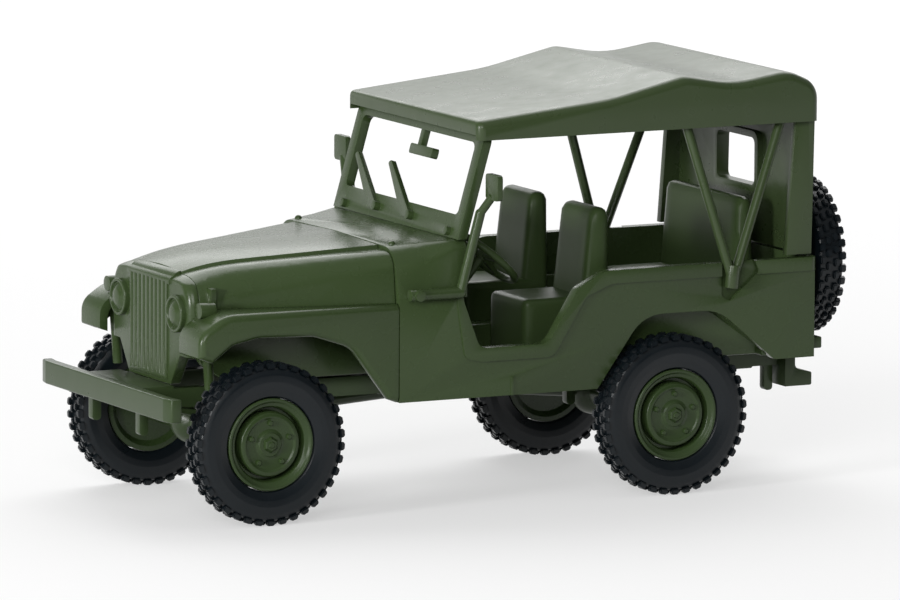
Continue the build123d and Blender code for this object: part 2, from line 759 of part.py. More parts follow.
def make_seat():
    """Front seat: moulded cushion and back on a plinth, standing at y = 0."""
    half = seat_w / 2
    back_x = door_back_x - 0.1
    low = cabin_floor + cushion_top - cushion_t
    top = cabin_floor + cushion_top
    cushion = padded(mirrored_rows([(half, low, 0.2), (half, top, 0.45)]),
                     back_x - seat_back_t / 2, back_x + seat_deep, pad_round * 0.6)
    back = padded(mirrored_rows([(half - 0.1, low, 0.2), (half, low + seat_back_h, 0.9)]),
                  back_x - seat_back_t, back_x, pad_round)
    base_half = half - seat_base_inset
    base = block(back_x - seat_back_t / 2, back_x + seat_deep - seat_base_inset, -base_half, base_half,
                 cabin_floor, low + 0.2)
    return cushion + back + base


def make_rear_seat():
    """Bench across the back, its backrest narrower towards the top."""
    back_x = tail_x + bench_gap + bench_back_t
    top = cabin_floor + cushion_top - 0.1
    shoulder = cabin_floor + bench_back_h
    back = padded(mirrored_rows([(bench_half, cabin_floor, 0), (bench_half - 0.1, shoulder - 2.0, 0.6),
                                 (bench_half - bench_taper, shoulder, 0.8)]),
                  back_x - bench_back_t, back_x, pad_round * 0.8)
    cushion = padded(mirrored_rows([(bench_half, cabin_floor, 0), (bench_half, top, 0.35)]),
                     back_x - bench_back_t / 2, back_x + bench_deep, pad_round * 0.6)
    return back + cushion


def make_steering():
    """Three-spoked wheel on a leaning column that reaches down to the footwell's floor."""
    centre = (door_back_x + steering_ahead, seat_y, cabin_floor + steering_h)
    wheel = Torus(steering_r, steering_grip_r)
    spoke = Pos(steering_r / 2, 0, 0) * Box(steering_r, steering_spoke_w, steering_spoke_w)
    for turn in ring_of(3, 90):
        wheel += Rot(0, 0, turn) * spoke
    wheel += Cylinder(steering_hub_r, steering_grip_r * 2)
    lean = radians(column_lean)
    column = (steering_h - steering_column_r * sin(lean) - seat_clear) / cos(lean)
    wheel += rod((0, 0, -column), (0, 0, 0), steering_column_r)
    return Pos(*centre) * Rot(0, -column_lean, 0) * wheel


# Underside

def make_frame():
    """Ladder frame with cross members, the spring shackles, the front cover plate and tail horns."""
    bumper_back = bumper_x - bumper_t
    inner, outer = frame_y - frame_w / 2, frame_y + frame_w / 2
    top = frame_z + frame_h
    frame = both_sides(block(tail_x - 0.75, bumper_back, inner, outer, frame_z, top))
    for x in (bumper_back - 1.2, front_x - 5.8, rear_x + 6.3, rear_x + 3.0, tail_x + 0.6):
        frame += block(x - member_w / 2, x + member_w / 2, -frame_y, frame_y, frame_z + 0.1, top - 0.1)
    half = shackle_w / 2
    low = frame_z - shackle_drop
    front_end, back_end = front_x - spring_half - 0.4, rear_x + spring_half + 0.4
    for x in (bumper_back - half, front_end, back_end, tail_x + 0.4):
        shackle = slab_y([(x - half, frame_z + 0.1, 0), (x - half, low, half * 0.8),
                          (x + half, low, half * 0.8), (x + half, frame_z + 0.1, 0)],
                         frame_y - half, frame_y + half)
        frame += both_sides(shackle)
    frame += block(panel_x + 0.15, bumper_back, -outer, outer, top - 0.05, top + 0.15)
    horn_low, horn_end = frame_z - horn_drop, tail_x - horn_reach
    horn_top = horn_low + horn_t
    horn = slab_y([(tail_x - 0.05, top - 0.1, 0), (tail_x - 0.05, horn_low, 0), (horn_end, horn_low, 0.1),
                   (horn_end, horn_top, 0.1), (tail_x - 0.65, horn_top + 0.25, 0.3),
                   (tail_x - 0.65, top - 0.1, 0)], frame_y - 0.5, frame_y + 1.3)
    return frame + both_sides(horn)


def make_axle():
    axle = rod((0, -axle_end_y, 0), (0, axle_end_y, 0), axle_tube_r)
    axle += Pos(0, diff_y, 0) * Sphere(diff_r)
    bore_end = axle_end_y - wheel_pin_reach - 0.15
    bore = rod((0, bore_end, 0), (0, axle_end_y + 1, 0), wheel_pin_r + pin_clear)
    return axle - both_sides(bore)


def make_springs(x):
    """Pair of leaf springs, bowed down to the axle at x and up to the frame at their ends."""
    low = hub_z + axle_tube_r + seat_clear
    high = frame_z - seat_clear
    end = spring_half - 0.3
    half_rows = [(spring_half, high, 0), (spring_half, high - spring_leaf_t / 2, 0), (1.2, low, 2.0)]
    back_rows = [(1.1, low + spring_leaf_t, 1.5), (end, high, 0)]
    rows = [(-u, v, r) for u, v, r in half_rows] + list(reversed(half_rows))
    rows += list(reversed(back_rows)) + [(-u, v, r) for u, v, r in back_rows]
    spring = slab_y([(x + u, v, r) for u, v, r in rows], frame_y - spring_w / 2, frame_y + spring_w / 2)
    return both_sides(spring)


gear_front = door_x - transfer_lead
gear_back = gear_front - transfer_l
shaft_z = frame_z - (gearbox_drop + transfer_drop) / 2


def make_drive():
    """Gearbox under the floor, with the transfer case lower and to the right."""
    box_back = gear_back - 0.3
    box = block(box_back, box_back + gearbox_l, -tunnel_half, tunnel_half,
                frame_z - gearbox_drop, floor_z - seat_clear)
    transfer = block(gear_back, gear_front, diff_y - shaft_r * 2, tunnel_half + 0.2,
                     frame_z - transfer_drop, frame_z - gearbox_drop + 0.3)
    return box + transfer


def make_shafts():
    reach = diff_r + seat_clear
    front = rod((gear_front + seat_clear, diff_y, shaft_z), (front_x - reach, diff_y, hub_z + 0.1), shaft_r)
    rear = rod((rear_x + reach, diff_y, hub_z + 0.1), (gear_back - seat_clear, diff_y, shaft_z), shaft_r)
    return front + rear


def make_bumper():
    """Plain bar with its ends bent back."""
    back = bumper_x - bumper_t
    bend_y = bumper_half - bumper_bend_run
    half_rows = [(back, bend_y - 0.1, 0.3), (back - bumper_bend, bumper_half, 0),
                 (bumper_x - bumper_bend, bumper_half, 0), (bumper_x, bend_y, 0.3)]
    rows = half_rows + [(x, -y, r) for x, y, r in reversed(half_rows)]
    return slab_z(rows, bumper_z, bumper_z + bumper_h)


def make_bumperettes():
    low = tail_z + 0.35
    outer, inner, back = side_y - tail_round, side_y - tail_round - bumperette_w, tail_x - bumperette_reach
    one = slab_z([(tail_x, inner, 0), (back, inner, 0.15), (back, outer, 0.15), (tail_x, outer, 0)],
                 low, low + bumperette_h)
    return both_sides(one)


def make_tow_hook():
    eye_x = tail_x - hook_reach
    half = hook_eye_r * 2
    back, root = eye_x - half, tail_x + 0.18
    hook = slab_z([(back, -half, half * 0.8), (back, half, half * 0.8), (root, half, 0), (root, -half, 0)],
                  hook_z, hook_z + hook_t)
    return hook - Pos(eye_x, 0, hook_z) * Cylinder(hook_eye_r, hook_t * 4)


def make_carrier():
    """Plate on the tail with the boss that the spare wheel hangs on."""
    half = carrier_w / 2
    middle_z = rail_z - lip_w - 0.1 - half
    plate = slab_x([(spare_y + side * half, middle_z + rise * half, 0.3)
                    for side, rise in ((-1, -1), (-1, 1), (1, 1), (1, -1))], tail_x - carrier_t, tail_x)
    seat_x = spare_x + tyre_w / 2 - 0.1
    return plate + rod((seat_x, spare_y, middle_z), (tail_x - 0.1, spare_y, middle_z), carrier_w / 3)


tub = make_tub()
wing = make_wing()
bows = make_bows()
mirror_arm = make_mirror()
seat = make_seat()
axle = make_axle()
tyre = make_tyre()
rim = make_rim()

pieces = {
    "body_tub": tub,
    "cabin_floor": make_floor(),
    "bonnet": make_bonnet(),
    "front_panel": make_front_panel(),
    "left_wing": wing,
    "right_wing": flipped(wing),
    "inner_aprons": make_aprons(),
    "windscreen_frame": make_windscreen(),
    "soft_top": make_soft_top(),
    "left_top_bows": bows,
    "right_top_bows": flipped(bows),
    "left_mirror": mirror_arm,
    "right_mirror": flipped(mirror_arm),
    "driver_seat": Pos(0, seat_y, 0) * seat,
    "passenger_seat": Pos(0, -seat_y, 0) * seat,
    "rear_seat": make_rear_seat(),
    "steering_wheel": make_steering(),
    "chassis_frame": make_frame(),
    "front_axle": Pos(front_x, 0, hub_z) * axle,
    "rear_axle": Pos(rear_x, 0, hub_z) * axle,
    "front_springs": make_springs(front_x),
    "rear_springs": make_springs(rear_x),
    "gearbox": make_drive(),
    "propshafts": make_shafts(),
    "front_bumper": make_bumper(),
    "rear_bumperettes": make_bumperettes(),
    "tow_hook": make_tow_hook(),
    "spare_carrier": make_carrier(),
    "spare_tyre": Pos(spare_x, spare_y, spare_z) * Rot(0, 0, 90) * tyre,
    "spare_rim": Pos(spare_x, spare_y, spare_z) * Rot(0, 0, 90) * make_rim(pin=False),
}
for end, x in (("front", front_x), ("rear", rear_x)):
    for kind, solid in (("tyre", tyre), ("rim", rim)):
        placed = Pos(x, tyre_y, hub_z) * solid
        pieces[end + "_left_" + kind] = placed
        pieces[end + "_right_" + kind] = flipped(placed)

spare_back = spare_x - tyre_w / 2
middle_x = (bumper_x + spare_back) / 2
for name, piece in pieces.items():
    export_step(Pos(-middle_x, 0, 0) * piece, "parts/" + name + ".step")
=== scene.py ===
import json
from math import cos, pi, radians, sin, tan

import bmesh
import bpy
from mathutils import Matrix, Vector


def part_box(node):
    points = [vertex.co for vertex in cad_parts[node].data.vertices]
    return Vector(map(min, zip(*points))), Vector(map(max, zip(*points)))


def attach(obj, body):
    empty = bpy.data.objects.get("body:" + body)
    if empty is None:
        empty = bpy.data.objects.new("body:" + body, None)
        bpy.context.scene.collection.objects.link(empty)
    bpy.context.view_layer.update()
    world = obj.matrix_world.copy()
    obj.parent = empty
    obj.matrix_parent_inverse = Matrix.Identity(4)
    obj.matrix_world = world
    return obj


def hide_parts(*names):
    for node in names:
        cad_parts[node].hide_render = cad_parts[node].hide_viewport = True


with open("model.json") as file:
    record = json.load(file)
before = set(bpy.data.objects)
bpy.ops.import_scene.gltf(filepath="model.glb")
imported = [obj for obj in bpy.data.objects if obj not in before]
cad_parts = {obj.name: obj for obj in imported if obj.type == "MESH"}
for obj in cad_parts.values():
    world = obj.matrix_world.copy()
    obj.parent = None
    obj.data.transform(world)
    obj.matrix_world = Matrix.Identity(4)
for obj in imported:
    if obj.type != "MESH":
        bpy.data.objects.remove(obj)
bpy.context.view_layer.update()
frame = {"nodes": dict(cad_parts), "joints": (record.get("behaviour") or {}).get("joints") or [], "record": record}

# Lengths in this script are millimetres in the model's own directions: X forward, Y left, Z up,
# with X = 0 midway between the axles. MM turns them into metres.
MM = 0.001
hinges = {joint["name"]: Vector(joint["pos_m"]) / MM for joint in frame["joints"]}
front_hub = hinges["front_left_spin"]
rear_hub = hinges["rear_left_spin"]
middle_x = (front_hub.x + rear_hub.x) / 2
front_x = front_hub.x - middle_x
rear_x = rear_hub.x - middle_x
tyre_y = front_hub.y
tyre_r = front_hub.z


def cad_corners(name):
    """Lowest and highest corner of a CAD node in millimetres, in the model's own directions."""
    low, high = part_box(name)
    shift = Vector((middle_x, 0, 0))
    return low / MM - shift, high / MM - shift


tyre_low, tyre_high = cad_corners("front_left_tyre")
rim_low, rim_high = cad_corners("front_left_rim")
tyre_half = (tyre_high.y - tyre_low.y) / 2
rim_r = (rim_high.z - rim_low.z) / 2
pin_end = rim_low.y - tyre_y

# Tyre details. knob_share is the part of the pitch that a tread block's top fills, and
# knob_foot_grow is how much wider its foot is.
knob_count = 38
knob_share = 0.54
knob_round = 0.05
knob_round_steps = 2
knob_sink = 0.08
knob_foot_grow = 1.35
shoulder_inset = 0.08
carcass_drop = 0.2
bead_inset = 0.23

# Rim details
pin_r = 0.5
nut_count = 5
nut_ring_r = 1.12
nut_r = 0.15
nut_h = 0.17
nut_sink = 0.03
cap_r = 0.44
cap_h = 0.22
cap_nut_r = 0.2
cap_nut_h = 0.18
cap_nut_rise = 0.1

# Fineness of the shapes. An arc takes at most most_reach of each line beside its corner, and a
# turned shape's row under axis_r is a point on the axis.
round_steps = 4
most_reach = 0.49
axis_r = 1e-6
wheel_segments = 96
lamp_segments = 64
pad_steps = 16

# Angles over which a shaded edge stays sharp
smooth_angle = 35
wheel_smooth_angle = 40
pad_smooth_angle = 45

# Softened edges of the moulded pieces. Points nearer than merge_gap are joined, and faces that
# meet at less than flat_angle are one face.
merge_gap = 0.002
flat_angle = 1.0
edge_angle = 28
edge_steps = 3
edge_w = 0.07
soft_edges = {
    # node: rounding of its edges
    "bonnet": 0.16, "body_tub": 0.03, "soft_top": 0.18, "front_panel": 0.07, "windscreen_frame": 0.12,
    "left_mirror": 0.1, "right_mirror": 0.1, "left_wing": 0.12, "right_wing": 0.12, "front_bumper": 0.1,
    "left_top_bows": 0.1, "right_top_bows": 0.1, "steering_wheel": 0.03, "tow_hook": 0.06,
}

# Seats
seat_back_t = 1.0
seat_wedge = 0.75
seat_back_inset = 0.02
seat_back_foot = 0.8
seat_lap = 0.6
seat_cushion_h = 3.1
bench_back_t = 0.8
bench_lap = 0.4

# Camera, fitted to the photograph
view_turn = 26.84
view_rise = 8.19
view_roll = 0.26
view_distance = 533.6
view_aim = (0.0, 0.0, 10.0)
aim_right = 2.25
aim_up = 0.04
lens_mm = 404.8
sensor_mm = 36
clip_start = 20

# Nose: its top falls off from nose_roll_x on, and slot_share of the slots' depth is kept
nose_roll_x = 10.6
nose_front = 15.1
nose_fall = 0.62
nose_foot_z = 12.25
nose_top_z = 13.05
nose_steps = 18
nose_power = 3
slot_half = 2.25
slot_low_z = 7.2
slot_top_z = 12.3
slot_skin = 0.02
slot_reach = 0.4
slot_share = 0.3

# Headlamps beside the grille, which the solid lacks
lamp_r = 0.98
lamp_y = 3.45
lamp_z = 10.7
lamp_out = 0.28
lamp_root = 0.3
panel_raise = 0.1

# Floor
floor_half = 1500
floor_roughness = 0.9
floor_glow = 0.5
floor_white = 0.92
floor_bounce = 0.4

# Room: strength of its light, and the heights and turns between which it changes
backdrop_level = 1.0
ceiling_level = 0.36
room_level = 0.05
backdrop_rise = (0.06, 0.36)
room_rise = (0.1, 0.9)
backdrop_turn = (-0.15, 0.5)

# Lamps
studio_aim = (0, 0, 8)
studio_lamps = [
    # name, place, side of its square, power in watts
    ("overhead", (-140, -260, 300), 420, 1.5),
    ("nose_panel", (300, 90, 60), 50, 0.6),
    ("side_fill", (170, 250, 130), 130, 0.42),
]

# Noise of the materials: steps a metre, and the part of its range that is used
drift_scale = 160.0
gloss_scale = 900.0
wave_scale = 260.0
noise_low = 0.2
noise_high = 0.8
colour_drift = 0.06

material_table = [
    # slot, colour, specular level, roughness, its unevenness, grain steps a metre, grain depth
    # and wave depth in mm
    ("body_olive", (0.041, 0.067, 0.023), 0.30, 0.27, 0.03, 5000.0, 0.0006, 0.008),
    ("top_olive", (0.043, 0.067, 0.025), 0.34, 0.30, 0.06, 3000.0, 0.0025, 0.03),
    ("interior_olive", (0.042, 0.068, 0.024), 0.15, 0.36, 0.04, 5000.0, 0.0006, 0.01),
    ("chassis_olive", (0.038, 0.061, 0.023), 0.30, 0.30, 0.04, 5000.0, 0.0006, 0.01),
    ("rim_olive", (0.031, 0.054, 0.017), 0.30, 0.28, 0.04, 5000.0, 0.0006, 0.005),
    ("tyre_black", (0.0042, 0.0072, 0.0095), 0.32, 0.32, 0.06, 4000.0, 0.0015, 0.008),
]


def place(x, y, z):
    """Point of the model in metres in the shared frame."""
    return Vector(((x + middle_x) * MM, y * MM, z * MM))


# Materials

def node(tree, kind, **values):
    """New shader node, each value set on the input or else the property of that name."""
    made = tree.nodes.new(kind)
    for key, value in values.items():
        if key in made.inputs:
            made.inputs[key].default_value = value
        else:
            setattr(made, key, value)
    return made


def noise(tree, where, scale, detail=2.0, roughness=0.5):
    """Noise texture in object space, at scale steps a metre."""
    made = node(tree, "ShaderNodeTexNoise", Scale=scale, Detail=detail, Roughness=roughness)
    tree.links.new(where, made.inputs["Vector"])
    return made.outputs["Fac"]


def spread(tree, value, low, high):
    """Noise value spread over low to high."""
    made = node(tree, "ShaderNodeMapRange")
    made.inputs["From Min"].default_value = noise_low
    made.inputs["From Max"].default_value = noise_high
    made.inputs["To Min"].default_value = low
    made.inputs["To Max"].default_value = high
    tree.links.new(value, made.inputs["Value"])
    return made.outputs["Result"]


def plastic(name, colour, specular, roughness, unevenness, grain, grain_depth, wave_depth):
    """Moulded plastic: faint colour drift, uneven gloss, fine mould grain and slow sink waves."""
    material = bpy.data.materials.new(name)
    material.use_nodes = True
    tree = material.node_tree
    links = tree.links
    shader = tree.nodes["Principled BSDF"]
    shader.inputs["Specular IOR Level"].default_value = specular
    where = node(tree, "ShaderNodeTexCoord").outputs["Object"]
    ramp = node(tree, "ShaderNodeValToRGB")
    first, last = ramp.color_ramp.elements
    first.position, last.position = noise_low, noise_high
    first.color = (*[c * (1 - colour_drift) for c in colour], 1)
    last.color = (*[c * (1 + colour_drift) for c in colour], 1)
    links.new(noise(tree, where, drift_scale, detail=3.0), ramp.inputs["Fac"])
    links.new(ramp.outputs["Color"], shader.inputs["Base Color"])
    uneven = noise(tree, where, gloss_scale, detail=3.0)
    gloss = spread(tree, uneven, roughness - unevenness, roughness + unevenness)
    links.new(gloss, shader.inputs["Roughness"])
    wave = node(tree, "ShaderNodeBump", Strength=1.0, Distance=wave_depth * MM)
    links.new(noise(tree, where, wave_scale, detail=1.0), wave.inputs["Height"])
    fine = node(tree, "ShaderNodeBump", Strength=1.0, Distance=grain_depth * MM)
    links.new(noise(tree, where, grain, roughness=0.6), fine.inputs["Height"])
    links.new(wave.outputs["Normal"], fine.inputs["Normal"])
    links.new(fine.outputs["Normal"], shader.inputs["Normal"])
    return material


materials = {name: plastic(name, *values) for name, *values in material_table}
slot_of = {part["node"]: part["material_slot"] for part in frame["record"]["subparts"]}
bodies = frame["record"]["behaviour"]["bodies"]
body_of_node = {member: body for body, members in bodies.items() for member in members}


# Pieces

def add_piece(mesh, cad_node, matrix=None):
    """Show a mesh in place of a CAD node, on its body and with its material slot."""
    piece = bpy.data.objects.new(cad_node + "_moulding", mesh)
    if matrix is not None:
        piece.matrix_world = matrix
    bpy.context.scene.collection.objects.link(piece)
    slot = slot_of[cad_node]
    piece.data.materials.clear()
    piece.data.materials.append(materials[slot])
    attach(piece, body_of_node[cad_node])
    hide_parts(cad_node)
    return piece


def shade(mesh, angle=smooth_angle):
    """Smooth shading, with edges over the angle left sharp."""
    mesh.shade_smooth()
    mesh.set_sharp_from_angle(angle=radians(angle))


def softened(name, extra=None):
    """A copy of a CAD node with its edges rounded as in a mould, then changed by extra."""
    mesh = frame["nodes"][name].data.copy()
    bm = bmesh.new()
    bm.from_mesh(mesh)
    bmesh.ops.remove_doubles(bm, verts=bm.verts, dist=merge_gap * MM)
    bmesh.ops.dissolve_limit(bm, angle_limit=radians(flat_angle), verts=bm.verts, edges=bm.edges)
    bm.to_mesh(mesh)
    bm.free()
    piece = add_piece(mesh, name)
    bevel = piece.modifiers.new("edge", "BEVEL")
    bevel.width = soft_edges.get(name, edge_w) * MM
    bevel.segments = edge_steps
    bevel.limit_method = "ANGLE"
    bevel.angle_limit = radians(edge_angle)
    bevel.use_clamp_overlap = True
    graph = bpy.context.evaluated_depsgraph_get()
    piece.data = bpy.data.meshes.new_from_object(piece.evaluated_get(graph))
    piece.modifiers.clear()
    if extra:
        bm = bmesh.new()
        bm.from_mesh(piece.data)
        extra(bm)
        bm.to_mesh(piece.data)
        bm.free()
    shade(piece.data)
    return piece


# Wheels

def rounded(rows):
    """Closed outline through (y, radius, rounding) rows with each corner as an arc."""
    corners = [Vector((y, r)) for y, r, rounding in rows]
    points = []
    for i, rounding in enumerate(row[2] for row in rows):
        here = corners[i]
        before, after = corners[i - 1], corners[(i + 1) % len(rows)]
        if rounding == 0:
            points.append(here)
            continue
        a, b = before - here, after - here
        half = a.angle(b) / 2
        reach = min(rounding / tan(half), a.length * most_reach, b.length * most_reach)
        start, end = here + a.normalized() * reach, here + b.normalized() * reach
        for step in range(round_steps + 1):
            t = step / round_steps
            points.append(start.lerp(here, t).lerp(here.lerp(end, t), t))
    return points


def lathe(bm, rows, segments=wheel_segments, matrix=Matrix()):
    """Body of revolution about Y from an outline of (y, radius, rounding) rows."""
    outline = rounded(rows)
    rings = []
    for y, r in outline:
        if r < axis_r:
            rings.append([bm.verts.new(matrix @ Vector((0, y * MM, 0)))])
            continue
        turns = [2 * pi * i / segments for i in range(segments)]
        rings.append([bm.verts.new(matrix @ Vector((r * sin(turn) * MM, y * MM, r * cos(turn) * MM)))
                      for turn in turns])
    for ring, after in zip(rings, rings[1:] + rings[:1]):
        for i in range(segments):
            j = (i + 1) % segments
            corners = [ring[i % len(ring)], ring[j % len(ring)]]
            corners += [after[j % len(after)], after[i % len(after)]]
            corners = list(dict.fromkeys(corners))
            if len(corners) > 2:
                bm.faces.new(corners)


def add_knob(bm, turn, y0, y1, lean0, lean1):
    """One tread block at an angle, from y0 to y1, its two ends leaning out towards their feet."""
    half_top = pi / knob_count * knob_share
    foot_r = tyre_r - carcass_drop - knob_sink
    levels = [
        # radius, widening, its two ends in y
        (foot_r, knob_foot_grow, (y0 - lean0, y1 + lean1)),
        (tyre_r, 1.0, (y0, y1)),
    ]
    verts = []
    for radius, grow, ends in levels:
        for y in ends:
            for side in (-1, 1):
                angle = turn + side * half_top * grow
                verts.append(bm.verts.new((radius * sin(angle) * MM, y * MM, radius * cos(angle) * MM)))
    a, b, c, d, e, f, g, h = verts
    for corners in ((a, b, d, c), (e, g, h, f), (a, e, f, b), (c, d, h, g), (a, c, g, e), (b, f, h, d)):
        bm.faces.new(corners)


def knob_rows():
    """(y0, y1, lean0, lean1, phase) of each row of tread blocks, from one shoulder to the other."""
    rows = [
        # y0, y1, lean0, lean1, phase
        (0.09, 0.36, 0.02, 0.02, 0.5),
        (0.44, tyre_half - shoulder_inset, 0.02, 0.07, 0.0),
    ]
    mirrored = [(-y1, -y0, lean1, lean0, phase + 0.25)
                for y0, y1, lean0, lean1, phase in reversed(rows)]
    return mirrored + rows


def tyre_mesh():
    """Carcass with bulged sidewalls and four rows of small tread blocks."""
    bm = bmesh.new()
    for y0, y1, lean0, lean1, phase in knob_rows():
        for i in range(knob_count):
            add_knob(bm, 2 * pi * (i + phase) / knob_count, y0, y1, lean0, lean1)
    bmesh.ops.bevel(bm, geom=list(bm.edges), offset=knob_round * MM,
                    segments=knob_round_steps, affect="EDGES")
    bead = tyre_half - bead_inset
    base_r = tyre_r - carcass_drop
    side = [
        # y, radius, rounding, from the bead over the sidewall to the tread's foot
        (bead - 0.3, rim_r + 0.04, 0.0), (bead, rim_r + 0.04, 0.04),
        (bead + 0.08, rim_r + 0.12, 0.07), (tyre_half - 0.04, rim_r + 0.5, 0.35),
        (tyre_half, rim_r + 0.85, 0.4), (tyre_half - 0.03, rim_r + 1.25, 0.5),
        (tyre_half - 0.16, base_r - 0.06, 0.2), (tyre_half - 0.4, base_r, 0.2),
    ]
    lathe(bm, side + [(-y, r, rounding) for y, r, rounding in reversed(side)])
    bmesh.ops.recalc_face_normals(bm, faces=bm.faces)
    mesh = bpy.data.meshes.new("tyre")
    bm.to_mesh(mesh)
    bm.free()
    shade(mesh, wheel_smooth_angle)
    return mesh


def add_nut(bm, y, x, z, radius, height, sides=6):
    """Bevelled nut standing on the rim's face at (x, z)."""
    rings = []
    levels = [
        # height, radius
        (-0.05, radius), (height - radius * 0.3, radius), (height, radius * 0.72),
    ]
    for up, r in levels:
        rings.append([bm.verts.new(((x + r * sin(2 * pi * i / sides)) * MM, (y + up) * MM,
                                    (z + r * cos(2 * pi * i / sides)) * MM)) for i in range(sides)])
    for ring, after in zip(rings, rings[1:]):
        for i in range(sides):
            bm.faces.new((ring[i], ring[(i + 1) % sides], after[(i + 1) % sides], after[i]))
    bm.faces.new(rings[-1])


def rim_mesh(name, pin):
    """Flange ring, deep groove, rounded drum with a shallow dish, nuts and a six-sided cap."""
    face = tyre_half - bead_inset
    groove = face - 0.7
    drum, dish = face + 0.03, face - 0.05
    lip = face + 0.12
    outer = [
        # y, radius, rounding, from the back of the flange over the front to the middle
        (-face, rim_r, 0.0), (lip - 0.05, rim_r, 0.0), (lip, rim_r - 0.05, 0.05),
        (lip, rim_r - 0.14, 0.06), (face, rim_r - 0.25, 0.08), (face - 0.08, rim_r - 0.42, 0.12),
        (face - 0.25, rim_r - 0.5, 0.05), (groove, rim_r - 0.52, 0.02), (groove, rim_r - 0.7, 0.02),
        (drum - 0.2, rim_r - 0.7, 0.06), (drum - 0.04, rim_r - 0.78, 0.1), (drum, rim_r - 0.98, 0.1),
        (dish, rim_r - 1.1, 0.1), (dish - 0.05, 0.8, 0.08), (dish, 0.66, 0.04), (dish + 0.06, 0.6, 0.04),
        (dish + 0.06, 0.0, 0.0),
    ]
    inner = [(-face + 0.2, 0.0, 0.0), (-face + 0.2, 1.9, 0.1), (-face, 2.15, 0.08)]
    if pin:
        inner = [(pin_end, 0.0, 0.0), (pin_end, pin_r, 0.04), (-face + 0.2, pin_r, 0.05)] + inner[1:]
    bm = bmesh.new()
    lathe(bm, outer + inner)
    for i in range(nut_count):
        angle = 2 * pi * i / nut_count
        add_nut(bm, dish - nut_sink, nut_ring_r * sin(angle), nut_ring_r * cos(angle), nut_r, nut_h)
    add_nut(bm, dish, 0, 0, cap_r, cap_h)
    add_nut(bm, dish + cap_nut_rise, 0, 0, cap_nut_r, cap_nut_h)
    bmesh.ops.recalc_face_normals(bm, faces=bm.faces)
    mesh = bpy.data.meshes.new(name)
    bm.to_mesh(mesh)
    bm.free()
    shade(mesh, wheel_smooth_angle)
    return mesh


def wheel_matrix(x, y, z, turn):
    """Place of a wheel whose middle is at a point, turned about Z in degrees."""
    return Matrix.Translation(place(x, y, z)) @ Matrix.Rotation(radians(turn), 4, "Z")


def add_wheels():
    """The four wheels and the spare one, each a tyre and a rim."""
    spare_low, spare_high = cad_corners("spare_tyre")
    spare = (spare_low + spare_high) / 2
    places = [
        # name, x, y, z, turn about Z that points the outer side outwards
        ("front_left", front_x, tyre_y, tyre_r, 0), ("front_right", front_x, -tyre_y, tyre_r, 180),
        ("rear_left", rear_x, tyre_y, tyre_r, 0), ("rear_right", rear_x, -tyre_y, tyre_r, 180),
        ("spare", spare.x, spare.y, spare.z, 90),
    ]
    tyre = tyre_mesh()
    rim, spare_rim = rim_mesh("rim", True), rim_mesh("spare_rim", False)
    for name, x, y, z, turn in places:
        matrix = wheel_matrix(x, y, z, turn)
        add_piece(tyre.copy(), name + "_tyre", matrix)
        add_piece((spare_rim if name == "spare" else rim).copy(), name + "_rim", matrix)


# Nose

def roll_down(bm):
    """Let the top of the nose fall off towards its front."""
    for step in range(1, nose_steps):
        x = nose_roll_x + (nose_front - nose_roll_x) * step / nose_steps
        bmesh.ops.bisect_plane(bm, geom=list(bm.verts) + list(bm.edges) + list(bm.faces),
                               plane_co=place(x, 0, 0), plane_no=(1, 0, 0))
    for vert in bm.verts:
        share = (vert.co.x / MM - middle_x - nose_roll_x) / (nose_front - nose_roll_x)
        height = (vert.co.z / MM - nose_foot_z) / (nose_top_z - nose_foot_z)
        if share > 0 and height > 0:
            vert.co.z -= nose_fall * share ** nose_power * min(height, 1) * MM


def add_headlamps(bm):
    """Ring with a domed lens on each side of the grille."""
    low, high = cad_corners("front_panel")
    root = low.x + lamp_root
    face = high.x - panel_raise + lamp_out
    rows = [
        # x, radius, rounding
        (root, lamp_r, 0.0), (face, lamp_r, 0.1), (face, lamp_r * 0.84, 0.06),
        (face - 0.16, lamp_r * 0.78, 0.04), (face - 0.1, lamp_r * 0.7, 0.05),
        (face + 0.06, lamp_r * 0.42, 0.3), (face + 0.12, 0.0, 0.0), (root, 0.0, 0.0),
    ]
    for side in (-1, 1):
        middle = Matrix.Translation(place(0, side * lamp_y, lamp_z))
        lathe(bm, rows, lamp_segments, middle @ Matrix.Rotation(-pi / 2, 4, "Z"))


def finish_nose(bm):
    """Shallow slots, the rolled top and the two headlamps of the front panel."""
    front = place(cad_corners("front_panel")[1].x, 0, 0).x
    for vert in bm.verts:
        inside = abs(vert.co.y) < slot_half * MM and slot_low_z * MM < vert.co.z < slot_top_z * MM
        depth = front - vert.co.x
        if inside and slot_skin * MM < depth < slot_reach * MM:
            vert.co.x = front - depth * slot_share
    roll_down(bm)
    add_headlamps(bm)


# Seats

def pad(bm, low, high, radius, taper, wedge):
    """Cushion between two corners with its edges rounded, apart from its foot's.

    taper narrows its top in Y, and wedge moves its front forward at the foot.
    """
    middle = (Vector(low) + Vector(high)) / 2
    half = (Vector(high) - Vector(low)) / 2
    made = bmesh.ops.create_cube(bm, size=2.0)["verts"]
    edges = list({edge for vert in made for edge in vert.link_edges})
    bmesh.ops.subdivide_edges(bm, edges=edges, cuts=pad_steps, use_grid_fill=True)
    limit = half - Vector((radius, radius, radius))
    for vert in [vert for vert in bm.verts if not vert.tag]:
        unit = vert.co.copy()
        at = Vector([share * reach for share, reach in zip(unit, half)])
        inner = Vector([max(-most, min(most, here)) for here, most in zip(at, limit)])
        if at.z < 0:
            inner.z = at.z
        out = at - inner
        point = inner + (out.normalized() * radius if out.length > 1e-9 else Vector())
        lowness = (1 - unit.z) / 2
        point.y *= 1 - taper * (1 - lowness)
        if unit.x > 0:
            point.x += wedge * lowness * unit.x
        vert.co = place(*(middle + point))
        vert.tag = True


